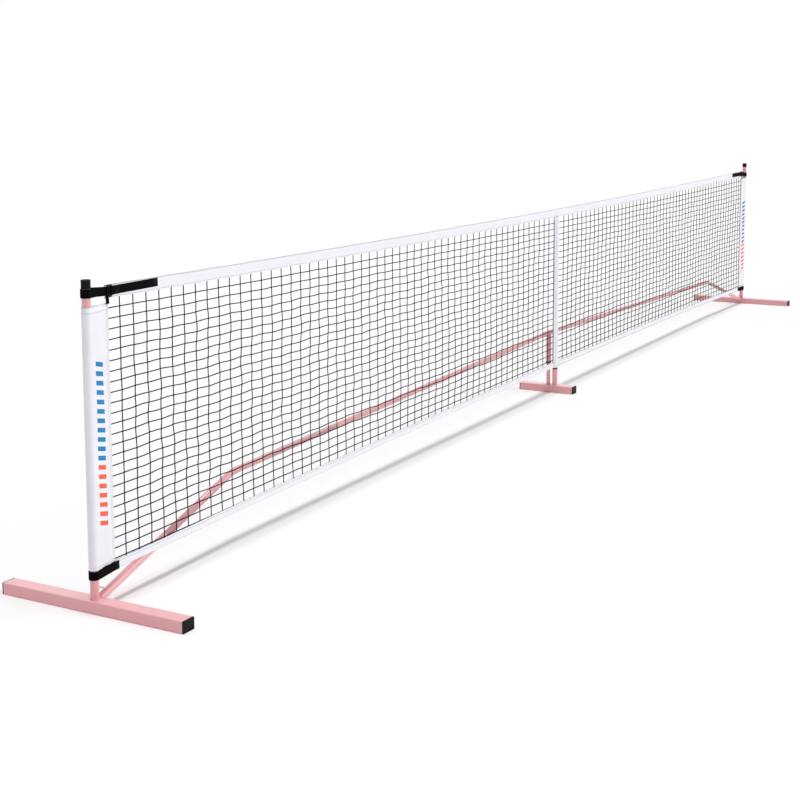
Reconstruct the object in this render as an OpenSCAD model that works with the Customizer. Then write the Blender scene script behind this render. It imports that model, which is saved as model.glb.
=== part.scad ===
// Portable court net on a plug-together steel frame.
// X runs along the net, Y across it (feet), Z up. Origin: middle of the net, on the floor.

/* [Net] */
// Distance from the middle of the net to the axis of each end post
half_span = 3353; // [2500:1:3600]
// Height of the net's top edge at the end posts
net_end_z = 912; // [800:1:1000]
// Drop of the net's top edge from the end posts to the middle
net_dip = 24; // [0:1:80]
// Height of the net's bottom edge at the end posts
hem_end_z = 92; // [88:1:140]
// Rise of the net's bottom edge from the end posts to the middle
hem_rise = 29; // [18:1:60]
// Height of the folded tape along the top edge
top_tape_h = 39; // [25:1:60]
// Height of the folded tape along the bottom edge
bottom_tape_h = 26; // [15:1:45]
// Thickness of the netting as one flat sheet
netting_t = 2.4; // [1.5:0.1:4]
// Width of each end sleeve from the post axis to its inner seam
sleeve_w = 88; // [60:1:140]
// Width of the webbing straps
strap_w = 25; // [20:1:40]

/* [Feet] */
// Length of each end foot, plugs included
foot_len = 650; // [450:1:900]
// Width of the rectangular foot tube
foot_w = 50; // [40:1:70]
// Height of the rectangular foot tube
foot_h = 35; // [25:1:50]
// Wall of the rectangular foot tube
foot_wall = 1.2; // [1:0.1:3]
// Reach of the middle foot in front of the net
mid_foot_front = 102; // [70:1:200]
// Reach of the middle foot behind the net
mid_foot_back = 174; // [120:1:300]

/* [Frame tubes] */
// Outside diameter of arms, rails and the middle pole
rail_d = 22.2; // [18:0.1:27]
// Wall of the sockets and stubs that the tubes plug into
socket_wall = 1.55; // [1.2:0.05:2.5]
// Wall of the round tubes
tube_wall = 1.2; // [1:0.1:1.5]
// Diametral play of every plug-in tube joint
joint_play = 0.1; // [0.04:0.01:0.16]
// Height of the left post cap's top above the net
left_post_rise = 22; // [5:1:120]
// Height of the right post cap's top above the net
right_post_rise = 48; // [5:1:120]
// Distance of the rails behind the net
rail_y = 34; // [28:1:60]
// Height of the rail line at the middle
rail_mid_z = 288; // [240:1:340]
// Height of the rail line at each elbow
elbow_z = 225; // [190:1:300]
// Distance of each elbow from its post, along the net
elbow_reach = 713; // [450:1:1000]
// Length of each arm stub welded to a foot
stub_len = 300; // [200:1:340]
// Length of each arm from its elbow to the joint with the outer rail
arm_run = 640; // [300:1:900]
// Length of each outer rail between its two joints
outer_rail_len = 990; // [500:1:1300]

/* [Buckles] */
// Height of each cross piece of a strap buckle
buckle_side = 4; // [3:0.5:8]
// Width of each strap buckle
buckle_w = 20; // [18:1:30]
// Diameter of the bars of each strap buckle
buckle_bar = 4; // [3:0.1:4]

/* [Hidden] */
$fn = 48;

rail_r = rail_d / 2;
play = joint_play / 2;
bore_r = rail_r + play;
post_r = bore_r + socket_wall;
bush_wall = 1.6;
upright_r = bore_r - bush_wall - play;
net_mid_z = net_end_z - net_dip;
hem_mid_z = hem_end_z + hem_rise;
left_post_top = net_end_z + left_post_rise;
right_post_top = net_end_z + right_post_rise;
elbow_x = half_span - elbow_reach;
seam_outer_x = elbow_x - arm_run;
seam_inner_x = seam_outer_x - outer_rail_len;
seam_gap = 0.4;
rail_bore_r = rail_r - tube_wall;
spigot_r = rail_bore_r - play;
plug_t = 4;
foot_r = 3;
strap_gap = 7;
bottom_strap_z = hem_end_z + bottom_tape_h - 1 - strap_w;
socket_top = bottom_strap_z - strap_gap;
cap_r = post_r + 0.8;
cap_h = 25;
loop_r = post_r + 1.3;
web_t = 1.5;
tape_t = 4;
hem_t = 3.6;
net_clear = 0.02;
sleeve_x = half_span - sleeve_w;
sleeve_bottom = hem_end_z + bottom_tape_h + 0.5;
strap_drop = 7;
tail_len = 26;
top_strap_z = net_end_z - strap_drop - strap_w;
sleeve_top = top_strap_z - tail_len - 1;
tape_end_x = sleeve_x + 11;
pocket_w = 56;
mid_top = net_mid_z - top_tape_h;
spigot_len = 55;
button_back = 28;
button_r = 3;
button_up = 3;
button_len = 7.5;
clip_top = rail_r + button_up - 1 - button_len;
clip_low = spigot_r - tube_wall - 0.75;
clip_t = 0.8;
tee_arm = 58;

// Heights of the net's two edges at distance x from the middle
function top_z(x) = net_mid_z + (net_end_z - net_mid_z) * pow(x / half_span, 2);
function hem_z(x) = hem_mid_z + (hem_end_z - hem_mid_z) * pow(x / half_span, 2);

function unit(v) = v / norm(v);
arm_offset = post_r - 6.2;
arm_foot = [-(half_span - foot_w / 2 - 27), arm_offset, foot_h];
elbow = [-elbow_x, rail_y, elbow_z];
tee = [0, rail_y, rail_mid_z];
arm_dir = unit(elbow - arm_foot);
rail_dir = unit(tee - elbow);
elbow_bead = 0.4;
rail_slope = atan2(rail_dir.z, rail_dir.x);
function rail_at(x) = elbow + (elbow_x - x) / elbow_x * (tee - elbow);

// Solid rod from point a to point b
module rod(a, b, r) {
  v = b - a;
  translate(a)
    rotate([0, acos(v.z / norm(v)), atan2(v.y, v.x)])
      cylinder(h = norm(v), r = r);
}

// Block that fills the side of point p that direction n points to
module beyond(p, n) {
  translate(p)
    rotate([0, acos(n.z / norm(n)), atan2(n.y, n.x)])
      translate([-50, -50, 0])
        cube([100, 100, 100]);
}

// Flat rectangle with round corners
module round_rect(w, h, r) {
  square([w - 2 * r, h], center = true);
  square([w, h - 2 * r], center = true);
  for (sx = [-1, 1], sy = [-1, 1])
    translate([sx * (w / 2 - r), sy * (h / 2 - r)])
      circle(r);
}

// Bar of rectangular section from y = front to y = back, standing on the floor
module foot_bar(front, back, inset, r) {
  translate([0, back, foot_h / 2])
    rotate([90, 0, 0])
      linear_extrude(back - front)
        round_rect(foot_w - 2 * inset, foot_h - 2 * inset, r);
}

// Hollow rectangular tube along Y
module foot_tube(front, back) {
  difference() {
    foot_bar(front, back, 0, foot_r);
    foot_bar(front - 1, back + 1, foot_wall, foot_r - foot_wall);
  }
}

// Moulded end plug: a flange over the tube's end and a ribbed body inside it
module foot_plug(y, side) {
  if (side < 0) {
    foot_bar(y, y + plug_t, 0, foot_r);
    foot_bar(y + plug_t, y + plug_t + 18, foot_wall + 0.2, 1.5);
  } else {
    foot_bar(y - plug_t, y, 0, foot_r);
    foot_bar(y - plug_t - 18, y - plug_t, foot_wall + 0.2, 1.5);
  }
}

// Places a part made for the left end, and its mirror image for the right end
module at_left() {
  children();
}
module at_right() {
  mirror([1, 0, 0]) children();
}

module end_foot() {
  color([0.9, 0.65, 0.68])
    translate([-half_span, 0, 0])
      foot_tube(-foot_len / 2 + plug_t, foot_len / 2 - plug_t);
}

module end_plug(side) {
  color([0.1, 0.1, 0.1])
    translate([-half_span, 0, 0])
      foot_plug(side * foot_len / 2, side);
}

// Short tube welded on the foot; the post plugs into it
module post_socket() {
  color([0.95, 0.72, 0.75])
    translate([-half_span, 0, foot_h])
      difference() {
        cylinder(h = socket_top - foot_h - 0.3, r = post_r);
        translate([0, 0, -1])
          cylinder(h = socket_top, r = bore_r);
      }
}

// Sloping tube welded to the foot and notched around the post socket
module arm_stub() {
  color([0.95, 0.72, 0.75])
    difference() {
      rod(arm_foot - 60 * arm_dir, arm_foot + stub_len * arm_dir, post_r);
      rod(arm_foot - 61 * arm_dir, arm_foot + (stub_len + 1) * arm_dir, bore_r);
      translate([-half_span - 100 + foot_w / 2, -50, -60])
        cube([100, 100, 60 + foot_h]);
      translate([-half_span, 0, 0])
        cylinder(h = 200, r = post_r);
      translate([-half_span - 100, -50, 0])
        cube([100, 100, 100]);
    }
}

// Thin rod welded between the post socket and the arm stub
module brace_rod() {
  color([0.9, 0.62, 0.66])
    difference() {
      rod([-half_span + 8, 2, foot_h + 34], [arm_foot[0] + 8, arm_offset + 1, foot_h + 9], 2.5);
      translate([-half_span, 0, 0])
        cylinder(h = 200, r = post_r);
      rod(arm_foot - 60 * arm_dir, arm_foot + 60 * arm_dir, post_r);
    }
}

// Solid following the arm: two straight runs and a slightly fuller ball at the elbow
module arm_core(r, start, end_x) {
  rod(arm_foot + start * arm_dir, elbow, r);
  rod(elbow, rail_at(end_x), r);
  translate(elbow) sphere(r + elbow_bead);
}

// Hole for a snap button at distance x from the middle, on the upper side of the rail
module button_hole(x) {
  translate(rail_at(x))
    rotate([0, -rail_slope, 0])
      cylinder(h = 30, r = button_r + 0.05);
}

// Bent tube from the stub over the elbow to the first rail joint
module arm_tube() {
  color([0.93, 0.68, 0.72])
    difference() {
      arm_core(rail_r, stub_len - 60, seam_outer_x + seam_gap);
      arm_core(rail_bore_r, stub_len - 61, seam_outer_x - 2);
      button_hole(seam_outer_x + button_back);
    }
}

// Straight tube with a reduced spigot at its outer end
module rail(x_out, x_in, next_seam_x) {
  color([0.93, 0.68, 0.72])
    difference() {
      union() {
        rod(rail_at(x_out), rail_at(x_in), rail_r);
        rod(rail_at(x_out + spigot_len), rail_at(x_out), spigot_r);
      }
      rod(rail_at(x_out - 4), rail_at(x_in - 2), rail_bore_r);
      rod(rail_at(x_out + spigot_len + 2), rail_at(x_out - 5), spigot_r - tube_wall);
      button_hole(x_out + button_back);
      if (next_seam_x > 0) button_hole(next_seam_x + button_back);
    }
}

module outer_rail() {
  rail(seam_outer_x, seam_inner_x + seam_gap, seam_inner_x);
}

module inner_rail() {
  rail(seam_inner_x, 6, 0);
}

// Folded spring strip inside the spigot that pushes the button out
module snap_clip(x) {
  color([0.6, 0.6, 0.62])
    translate(rail_at(x + button_back))
      rotate([90, -rail_slope, 0])
        translate([0, 0, -2.5])
          linear_extrude(5)
            polygon([
              [4, clip_top], [-4, clip_top], [-26, -0.4], [-26, -1.8], [6, -clip_low],
              [6, clip_t - clip_low], [-22.8, -1.2], [-3.4, clip_top - clip_t], [4, clip_top - clip_t]
            ]);
}

// Domed steel button that locks a rail joint
module snap_button(x) {
  color([0.75, 0.75, 0.77])
    translate(rail_at(x + button_back))
      rotate([0, -rail_slope, 0]) {
        translate([0, 0, clip_top])
          cylinder(h = button_len, r = button_r);
        translate([0, 0, rail_r + button_up - 1])
          rotate_extrude()
            polygon([[0, 0], [button_r, 0], [button_r - 0.3, 0.5], [button_r - 1, 1], [0, 1]]);
      }
}

module middle_foot() {
  color([0.9, 0.65, 0.68])
    foot_tube(-mid_foot_front + plug_t, mid_foot_back - plug_t);
}

module middle_plug(side) {
  color([0.1, 0.1, 0.1])
    foot_plug(side < 0 ? -mid_foot_front : mid_foot_back, side);
}

// Thin tube welded on the middle foot, behind the net
module middle_upright() {
  color([0.95, 0.72, 0.75])
    translate([0, rail_y, foot_h])
      difference() {
        cylinder(h = rail_mid_z - foot_h - post_r - 4, r = upright_r);
        translate([0, 0, -1])
          cylinder(h = rail_mid_z, r = upright_r - tube_wall);
      }
}

// Left half of the tee's level run, cut off square at the middle
module tee_half(r, reach) {
  difference() {
    rod(rail_at(reach), rail_at(-10), r);
    beyond(tee, [1, 0, 0]);
  }
}

// Tee that joins the two rails on top of the upright
module rail_tee() {
  color([0.93, 0.68, 0.72])
    difference() {
      union() {
        tee_half(post_r, tee_arm);
        at_right() tee_half(post_r, tee_arm);
        translate([0, rail_y, hem_mid_z + bottom_tape_h])
          cylinder(h = rail_mid_z - hem_mid_z - bottom_tape_h, r = post_r - 0.4);
      }
      tee_half(bore_r, tee_arm + 2);
      at_right() tee_half(bore_r, tee_arm + 2);
      translate([0, rail_y, hem_mid_z])
        cylinder(h = rail_mid_z - hem_mid_z - post_r - 2, r = bore_r);
    }
}

// Moulded collar between the tee's leg and the thinner upright
module tee_bush() {
  color([0.08, 0.08, 0.08])
    translate([0, rail_y, hem_mid_z + bottom_tape_h])
      difference() {
        union() {
          translate([0, 0, -6]) cylinder(h = 6, r = post_r + 0.6);
          cylinder(h = 22, r = bore_r - 0.05);
        }
        translate([0, 0, -7]) cylinder(h = 40, r = upright_r + play);
      }
}

// Short tube welded on the middle foot; the pole stands in it
module pole_socket() {
  color([0.95, 0.72, 0.75])
    translate([0, 0, foot_h])
      difference() {
        cylinder(h = hem_mid_z - foot_h - 8, r = post_r);
        translate([0, 0, -1])
          cylinder(h = hem_mid_z, r = bore_r);
      }
}

module pole_socket_bush() {
  color([0.08, 0.08, 0.08])
    translate([0, 0, hem_mid_z - 8])
      difference() {
        cylinder(h = 5, r = post_r);
        translate([0, 0, -1])
          cylinder(h = 10, r = bore_r);
      }
}

// End post with a reduced lower end that fits the socket
module end_post(top) {
  color([0.95, 0.75, 0.78])
    translate([-half_span, 0, 0])
      difference() {
        union() {
          translate([0, 0, foot_h + 4]) cylinder(h = socket_top - foot_h - 4, r = rail_r);
          translate([0, 0, socket_top]) cylinder(h = top - 3 - socket_top, r = post_r);
        }
        translate([0, 0, foot_h]) cylinder(h = socket_top - foot_h + 10, r = rail_bore_r);
        translate([0, 0, socket_top + 4]) cylinder(h = top, r = post_r - tube_wall);
      }
}

module post_cap(top) {
  color([0.07, 0.07, 0.07])
    translate([-half_span, 0, top - cap_h])
      difference() {
        union() {
          cylinder(h = cap_h - 1.5, r = cap_r);
          translate([0, 0, cap_h - 1.5]) cylinder(h = 1.5, r1 = cap_r, r2 = cap_r - 1.5, $fn = 96);
        }
        translate([0, 0, -1]) cylinder(h = cap_h - 2, r = post_r);
      }
}

// Tube that stands in the middle sleeve and holds the top tape up
module middle_pole() {
  color([0.93, 0.68, 0.72])
    translate([0, 0, foot_h + 3])
      difference() {
        cylinder(h = mid_top - foot_h - 7, r = rail_r);
        translate([0, 0, -1]) cylinder(h = mid_top, r = rail_bore_r);
      }
}

module pole_cap(z, side) {
  color([0.08, 0.08, 0.08])
    translate([0, 0, z]) {
      cylinder(h = 2.5, r = rail_r);
      translate([0, 0, side > 0 ? -12 : 2.5]) cylinder(h = 12, r = rail_bore_r - 0.1);
    }
}

// One half of the netting, as a flat sheet between the tapes
module netting() {
  n = 24;
  step = (sleeve_x - pocket_w / 2) / n;
  xs = [for (i = [0:n]) sleeve_x - i * step];
  color([0.25, 0.25, 0.27])
    translate([0, netting_t / 2, 0])
      rotate([90, 0, 0])
        linear_extrude(netting_t)
          polygon(concat(
            [for (x = xs) [-x, hem_z(x) + bottom_tape_h]],
            [for (i = [n:-1:0]) [-xs[i], top_z(xs[i]) - top_tape_h - net_clear]]
          ));
}

// Folded tape along the whole top edge
module top_tape() {
  n = 24;
  xs = [for (i = [-n:n]) tape_end_x * i / n];
  m = len(xs) - 1;
  color([0.94, 0.94, 0.96])
    translate([0, tape_t / 2, 0])
      rotate([90, 0, 0])
        linear_extrude(tape_t)
          polygon(concat(
            [for (x = xs) [x, top_z(x) - top_tape_h]],
            [for (i = [m:-1:0]) [xs[i], top_z(xs[i])]]
          ));
}

// Folded tape along one half of the bottom edge
module bottom_tape() {
  n = 24;
  step = (sleeve_x - pocket_w / 2) / n;
  xs = [for (i = [0:n]) sleeve_x - i * step];
  color([0.94, 0.94, 0.96])
    translate([0, hem_t / 2, 0])
      rotate([90, 0, 0])
        linear_extrude(hem_t)
          polygon(concat(
            [for (x = xs) [-x, hem_z(x)]],
            [for (i = [n:-1:0]) [-xs[i], hem_z(xs[i]) + bottom_tape_h]]
          ));
}

// Outline of a sleeve around the post that closes to a seam on the net side
module sleeve_outline(r, seam_x, seam_t) {
  hull() {
    translate([-half_span, 0]) circle(r);
    translate([-seam_x - 1, 0]) square([2, seam_t], center = true);
  }
}

// Fabric sleeve that slips down over the post
module end_sleeve() {
  color([0.93, 0.93, 0.96])
    translate([0, 0, sleeve_bottom])
      difference() {
        linear_extrude(sleeve_top - sleeve_bottom)
          sleeve_outline(loop_r + 1.1, sleeve_x, 2.4);
        translate([0, 0, -1])
          linear_extrude(sleeve_top - sleeve_bottom + 2)
            sleeve_outline(loop_r - 0.1, sleeve_x + 16, 0.4);
      }
}

// Flat strip across the net with a round pocket for the pole
module middle_sleeve() {
  color([0.93, 0.93, 0.96])
    translate([0, 0, hem_mid_z])
      difference() {
        union() {
          cylinder(h = mid_top - hem_mid_z, r = bore_r + 1.6);
          translate([-pocket_w / 2, -1.2, 0])
            cube([pocket_w, 2.4, mid_top - hem_mid_z]);
        }
        translate([0, 0, -1])
          cylinder(h = mid_top - hem_mid_z + 2, r = bore_r + 0.3);
      }
}

// Half ring of webbing around the outer side of the post, with two runs towards the net
module webbing_wrap(end_x, gap) {
  translate([-half_span, 0])
    intersection() {
      difference() {
        circle(loop_r + web_t);
        circle(loop_r);
      }
      translate([-50, -50]) square([50, 100]);
    }
  for (s = [-1, 1])
    polygon([
      [-half_span, s * loop_r], [-half_span, s * (loop_r + web_t)],
      [-end_x, s * (gap + web_t)], [-end_x, s * gap]
    ]);
}

// Webbing loop that holds the net's top corner to the post, with its hanging free end
module top_strap() {
  color([0.03, 0.03, 0.03]) {
    translate([0, 0, top_strap_z]) {
      linear_extrude(strap_w)
        webbing_wrap(tape_end_x + 1, tape_t / 2 + 0.9);
      translate([-tape_end_x - 2, -tape_t / 2 - 1.4, 0])
        cube([16, 1.3, strap_w]);
      translate([-tape_end_x - 2, tape_t / 2 + 0.1, 0])
        cube([42, 1.5, strap_w]);
    }
    translate([-tape_end_x, -tape_t / 2 - 1.4, top_strap_z - tail_len])
      cube([14, 1.3, tail_len]);
  }
}

buckle_x = tape_end_x - buckle_w - 1;
buckle_y = -tape_t / 2 - 3.7;
bar_r = buckle_bar / 2;

// Webbing sewn to the tape, folded round the buckle's fixed bar
module buckle_loop() {
  color([0.03, 0.03, 0.03])
    translate([0, 0, top_strap_z]) {
      translate([-buckle_x, buckle_y, 0])
        difference() {
          cylinder(h = strap_w, r = 3.7);
          translate([0, 0, -1]) cylinder(h = strap_w + 2, r = bar_r + 0.2);
        }
      translate([-buckle_x, buckle_y + 3.7 - web_t, 0])
        cube([210, web_t, strap_w]);
    }
}

// Moulded ladder buckle: two cross pieces and three bars
module buckle() {
  rail_h = buckle_side;
  buckle_h = strap_w + 2 * rail_h + 2;
  z0 = top_strap_z + strap_w / 2 - buckle_h / 2;
  color([0.06, 0.06, 0.06])
    translate([-buckle_x, buckle_y, z0]) {
      for (z = [0, buckle_h - rail_h])
        translate([-buckle_w + bar_r, -bar_r, z])
          cube([buckle_w, 2 * bar_r, rail_h]);
      for (x = [0, -buckle_w / 2 + bar_r, -buckle_w + 2 * bar_r])
        translate([x, 0, rail_h / 2])
          cylinder(h = buckle_h - rail_h, r = bar_r);
    }
}

// Webbing loop that holds the net's bottom corner to the post
module bottom_strap() {
  color([0.03, 0.03, 0.03])
    translate([0, 0, bottom_strap_z]) {
      linear_extrude(strap_w)
        webbing_wrap(sleeve_x + 2, hem_t / 2 + 0.1);
      for (y = [-hem_t / 2 - 0.1 - web_t, hem_t / 2 + 0.1])
        translate([-sleeve_x - 3, y, 0])
          cube([16, web_t, strap_w]);
    }
}

at_left() end_foot();  // left_foot_tube
at_right() end_foot();  // right_foot_tube
at_left() end_plug(-1);  // left_front_plug
at_left() end_plug(1);  // left_back_plug
at_right() end_plug(-1);  // right_front_plug
at_right() end_plug(1);  // right_back_plug
at_left() post_socket();  // left_post_socket
at_right() post_socket();  // right_post_socket
at_left() arm_stub();  // left_arm_stub
at_right() arm_stub();  // right_arm_stub
at_left() brace_rod();  // left_brace_rod
at_right() brace_rod();  // right_brace_rod
at_left() arm_tube();  // left_arm_tube
at_right() arm_tube();  // right_arm_tube
at_left() outer_rail();  // left_outer_rail
at_right() outer_rail();  // right_outer_rail
at_left() inner_rail();  // left_inner_rail
at_right() inner_rail();  // right_inner_rail
at_left() snap_clip(seam_outer_x);  // left_outer_clip
at_right() snap_clip(seam_outer_x);  // right_outer_clip
at_left() snap_clip(seam_inner_x);  // left_inner_clip
at_right() snap_clip(seam_inner_x);  // right_inner_clip
at_left() snap_button(seam_outer_x);  // left_outer_button
at_right() snap_button(seam_outer_x);  // right_outer_button
at_left() snap_button(seam_inner_x);  // left_inner_button
at_right() snap_button(seam_inner_x);  // right_inner_button
middle_foot();  // middle_foot_tube
middle_plug(-1);  // middle_front_plug
middle_plug(1);  // middle_back_plug
middle_upright();
rail_tee();
tee_bush();
pole_socket();
pole_socket_bush();
at_left() end_post(left_post_top);  // left_post
at_left() post_cap(left_post_top);  // left_post_cap
at_right() end_post(right_post_top);  // right_post
at_right() post_cap(right_post_top);  // right_post_cap
middle_pole();
pole_cap(mid_top - 4, 1);  // pole_top_cap
pole_cap(foot_h + 0.5, -1);  // pole_bottom_cap
at_left() netting();  // left_netting
at_right() netting();  // right_netting
top_tape();
at_left() bottom_tape();  // left_bottom_tape
at_right() bottom_tape();  // right_bottom_tape
at_left() end_sleeve();  // left_sleeve
at_right() end_sleeve();  // right_sleeve
middle_sleeve();
at_left() top_strap();  // left_top_strap
at_right() top_strap();  // right_top_strap
at_left() buckle_loop();  // left_buckle_loop
at_right() buckle_loop();  // right_buckle_loop
at_left() buckle();  // left_buckle
at_right() buckle();  // right_buckle
at_left() bottom_strap();  // left_bottom_strap
at_right() bottom_strap();  // right_bottom_strap
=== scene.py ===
import math

import bmesh
import bpy
from mathutils import Matrix, Vector


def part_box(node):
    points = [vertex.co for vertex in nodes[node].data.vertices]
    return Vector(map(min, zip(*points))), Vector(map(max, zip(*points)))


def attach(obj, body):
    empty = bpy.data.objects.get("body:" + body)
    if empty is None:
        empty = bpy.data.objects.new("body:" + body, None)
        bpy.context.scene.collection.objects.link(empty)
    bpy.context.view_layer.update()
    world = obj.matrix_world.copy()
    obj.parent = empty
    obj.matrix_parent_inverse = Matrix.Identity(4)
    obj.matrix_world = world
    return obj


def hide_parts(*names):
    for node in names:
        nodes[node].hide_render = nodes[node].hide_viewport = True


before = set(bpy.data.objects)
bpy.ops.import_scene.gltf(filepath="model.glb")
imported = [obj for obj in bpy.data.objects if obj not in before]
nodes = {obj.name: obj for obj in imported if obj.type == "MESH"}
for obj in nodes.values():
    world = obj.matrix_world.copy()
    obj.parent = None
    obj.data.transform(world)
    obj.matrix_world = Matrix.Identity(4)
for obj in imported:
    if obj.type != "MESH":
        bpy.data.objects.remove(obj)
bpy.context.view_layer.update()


# Camera: beyond the left end of the net and in front of it, half a metre above the top tape.
# It looks along the net, so the left foot is close and the right post far away.
yaw, pitch, roll = 1.06009, 0.11990, -0.00452
camera_data = bpy.data.cameras.new("camera")
camera_data.lens = 63.772
camera_data.sensor_width = 36
camera_data.shift_x = 0.0217
camera_data.shift_y = -0.1664
camera_data.clip_end = 200
camera = bpy.data.objects.new("camera", camera_data)
turn = (Matrix.Rotation(-yaw, 4, "Z") @ Matrix.Rotation(math.pi / 2 - pitch, 4, "X")
        @ Matrix.Rotation(roll, 4, "Z"))
camera.matrix_world = Matrix.Translation((-6.2910, -2.5721, 1.4254)) @ turn
bpy.context.collection.objects.link(camera)
bpy.context.scene.camera = camera
bpy.context.scene.view_settings.view_transform = "Standard"


# Floor and light: a seamless white studio floor under an overcast-soft room.
# A soft key hangs almost overhead, a broad one fills from in front and beyond the right end, and
# the room is dim as a light but white to the camera and in gloss.
def linear(colour):
    """The linear RGBA of an sRGB hex colour."""
    parts = [int(colour[i:i + 2], 16) / 255 for i in (1, 3, 5)]
    return [c / 12.92 if c <= 0.04045 else ((c + 0.055) / 1.055) ** 2.4 for c in parts] + [1]


def add(tree, kind, inputs=None, **settings):
    """A new node with its settings; each input takes a value or another node's output."""
    node = tree.nodes.new(kind)
    for name, value in settings.items():
        setattr(node, name, value)
    for name, value in (inputs or {}).items():
        if isinstance(value, bpy.types.NodeSocket):
            tree.links.new(value, node.inputs[name])
        else:
            node.inputs[name].default_value = value
    return node


def blank_material(name):
    """An empty material and its node tree."""
    material = bpy.data.materials.new(name)
    material.use_nodes = True
    material.node_tree.nodes.clear()
    return material, material.node_tree


studio_floor, tree = blank_material("white_studio_floor")
place = add(tree, "ShaderNodeTexCoord")
mottle = add(tree, "ShaderNodeTexNoise", {"Vector": place.outputs["Object"], "Scale": 0.4})
tint = add(tree, "ShaderNodeMix", {"Factor": mottle.outputs["Fac"], 6: linear("#f6f6f7"),
                                   7: linear("#f9f9f9")}, data_type="RGBA")
paint = add(tree, "ShaderNodeBsdfPrincipled", {"Base Color": tint.outputs[2], "Roughness": 0.9,
                                               "Specular IOR Level": 0.1})
add(tree, "ShaderNodeOutputMaterial", {"Surface": paint.outputs[0]})

shape = bmesh.new()
bmesh.ops.create_grid(shape, x_segments=2, y_segments=2, size=60)
floor_mesh = bpy.data.meshes.new("floor")
shape.to_mesh(floor_mesh)
shape.free()
floor_mesh.materials.append(studio_floor)
floor = bpy.data.objects.new("floor", floor_mesh)
bpy.context.collection.objects.link(floor)

world = bpy.data.worlds.new("studio")
world.use_nodes = True
world.node_tree.nodes.clear()
seen = add(world.node_tree, "ShaderNodeLightPath")
room = add(world.node_tree, "ShaderNodeBackground", {"Color": linear("#fdfdff"), "Strength": 0.38})
backdrop = add(world.node_tree, "ShaderNodeBackground", {"Color": (1, 1, 1, 1), "Strength": 1.0})
mirrored = add(world.node_tree, "ShaderNodeMath", {
    0: seen.outputs["Is Camera Ray"], 1: seen.outputs["Is Glossy Ray"]}, operation="MAXIMUM")
both = add(world.node_tree, "ShaderNodeMixShader", {0: mirrored.outputs[0], 1: room.outputs[0],
                                                    2: backdrop.outputs[0]})
add(world.node_tree, "ShaderNodeOutputWorld", {"Surface": both.outputs[0]})
bpy.context.scene.world = world

for name, strength, spread, direction in (
    ("key", 1.8, 10, (0, 0.01, -1)),
    ("fill", 1.15, 50, (-0.55, 1, -0.55)),
):
    light = bpy.data.lights.new(name, "SUN")
    light.energy = strength
    light.angle = math.radians(spread)
    lamp = bpy.data.objects.new(name, light)
    lamp.rotation_euler = Vector(direction).to_track_quat("-Z", "Y").to_euler()
    bpy.context.collection.objects.link(lamp)


# Steel frame: feet, sockets, stubs, braces, rails, tee, posts and pole are drawn mild steel tube.
# Pink polyester powder coat, baked on: satin, with a faint orange peel and slow shifts of tone.
def powder_coat():
    material, tree = blank_material("pink_powder_coat_steel")
    place = add(tree, "ShaderNodeTexCoord").outputs["Object"]
    slow = add(tree, "ShaderNodeTexNoise", {"Vector": place, "Scale": 9, "Detail": 3})
    tint = add(tree, "ShaderNodeMix", {"Factor": slow.outputs["Fac"], 6: linear("#e8a0a4"),
                                       7: linear("#eeabaf")}, data_type="RGBA")
    # orange peel: swells about 1.6 mm apart and a few hundredths of a millimetre high
    peel = add(tree, "ShaderNodeTexNoise", {"Vector": place, "Scale": 1 / 0.0016, "Detail": 2})
    relief = add(tree, "ShaderNodeBump", {"Height": peel.outputs["Fac"], "Strength": 0.35,
                                          "Distance": 0.00006})
    # handling rubs the gloss down in patches some 40 mm across
    rubs = add(tree, "ShaderNodeTexNoise", {"Vector": place, "Scale": 1 / 0.04, "Detail": 5})
    rough = add(tree, "ShaderNodeMapRange", {"Value": rubs.outputs["Fac"], "From Min": 0.35,
                                             "From Max": 0.7, "To Min": 0.30, "To Max": 0.46})
    paint = add(tree, "ShaderNodeBsdfPrincipled", {
        "Base Color": tint.outputs[2], "Roughness": rough.outputs[0], "Normal": relief.outputs[0],
        "IOR": 1.5, "Coat Weight": 1.0, "Coat Roughness": 0.2})
    add(tree, "ShaderNodeOutputMaterial", {"Surface": paint.outputs[0]})
    return material


pink_steel = powder_coat()
sides = ("left", "right")
painted = ["middle_foot_tube", "middle_upright", "rail_tee", "pole_socket", "middle_pole"]
for side in sides:
    for part in ("foot_tube", "post_socket", "arm_stub", "brace_rod", "outer_rail",
                 "inner_rail", "post"):
        painted.append(f"{side}_{part}")
for name in painted:
    nodes[name].material_slots[0].material = pink_steel


# Arm tubes: one length of 22 mm tube on each side, plugged into the stub on the foot.
# It is cold bent once at the elbow to an easy radius, and runs on level as the first of the rail.
def place_piece(name, shape, material, body):
    """Makes the finished mesh an object that rides on a body."""
    mesh = bpy.data.meshes.new(name)
    shape.to_mesh(mesh)
    shape.free()
    mesh.materials.append(material)
    piece = bpy.data.objects.new(name, mesh)
    bpy.context.collection.objects.link(piece)
    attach(piece, body)
    return piece


def pulled(shape, edges, offset):
    """Extrudes a run of edges by offset, and returns the new run."""
    new = bmesh.ops.extrude_edge_only(shape, edges=edges)["geom"]
    corners = [v for v in new if isinstance(v, bmesh.types.BMVert)]
    bmesh.ops.translate(shape, verts=corners, vec=offset)
    held = set(corners)
    return [e for e in new if isinstance(e, bmesh.types.BMEdge) and held.issuperset(e.verts)]


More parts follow.
